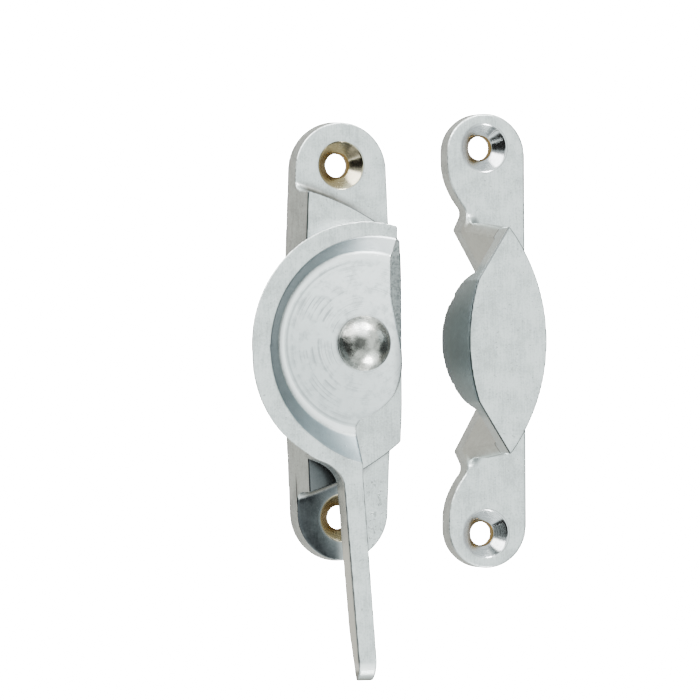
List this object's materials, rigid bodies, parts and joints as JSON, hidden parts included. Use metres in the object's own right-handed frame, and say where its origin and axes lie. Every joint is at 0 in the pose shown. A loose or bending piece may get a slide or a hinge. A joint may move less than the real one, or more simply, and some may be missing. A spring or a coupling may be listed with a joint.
{
  "type": "crescent sash fastener",
  "caption": "Satin chrome crescent window fastener: a turning dished lever with a straight handle on a screwed base, and a separate screwed keep whose hook the lever's rim draws in.",
  "frame": {"origin": "centre of the base casting's underside, midway between its two screw holes", "axes": "+X from the base to the keep, +Y along both plates away from the handle, +Z out of the plates"},
  "size_m": [0.0505, 0.089, 0.0221],
  "materials": {
    "base_satin_chrome": "satin chrome plate on cast brass, faint polishing lines",
    "lever_satin_chrome": "satin chrome plate on cast brass, turned dish floor",
    "keep_satin_chrome": "satin chrome plate on cast brass, faint polishing lines",
    "rivet_polished": "polished, hand-peened rivet head",
    "washer_brass": "plain stamped brass",
    "spring_steel": "oiled spring steel"
  },
  "bodies": {
    "keep": {"keep_casting": "keep_satin_chrome"},
    "base": {"base_casting": "base_satin_chrome", "pivot_rivet": "rivet_polished", "thrust_washer": "washer_brass", "spring_washer": "spring_steel", "tail_washer": "washer_brass"},
    "lever": {"crescent_lever": "lever_satin_chrome"}
  },
  "joints": [
    {"name": "sash_travel", "type": "slide", "parent": "keep", "child": "base", "axis": [0, 0, 1], "range_m": [0, 0.04]},
    {"name": "lever_turn", "type": "hinge", "parent": "base", "child": "lever", "pos_m": [0.0006, -0.0003, 0.0111], "axis": [0, 0, -1], "range_deg": [0, 180]}
  ]
}
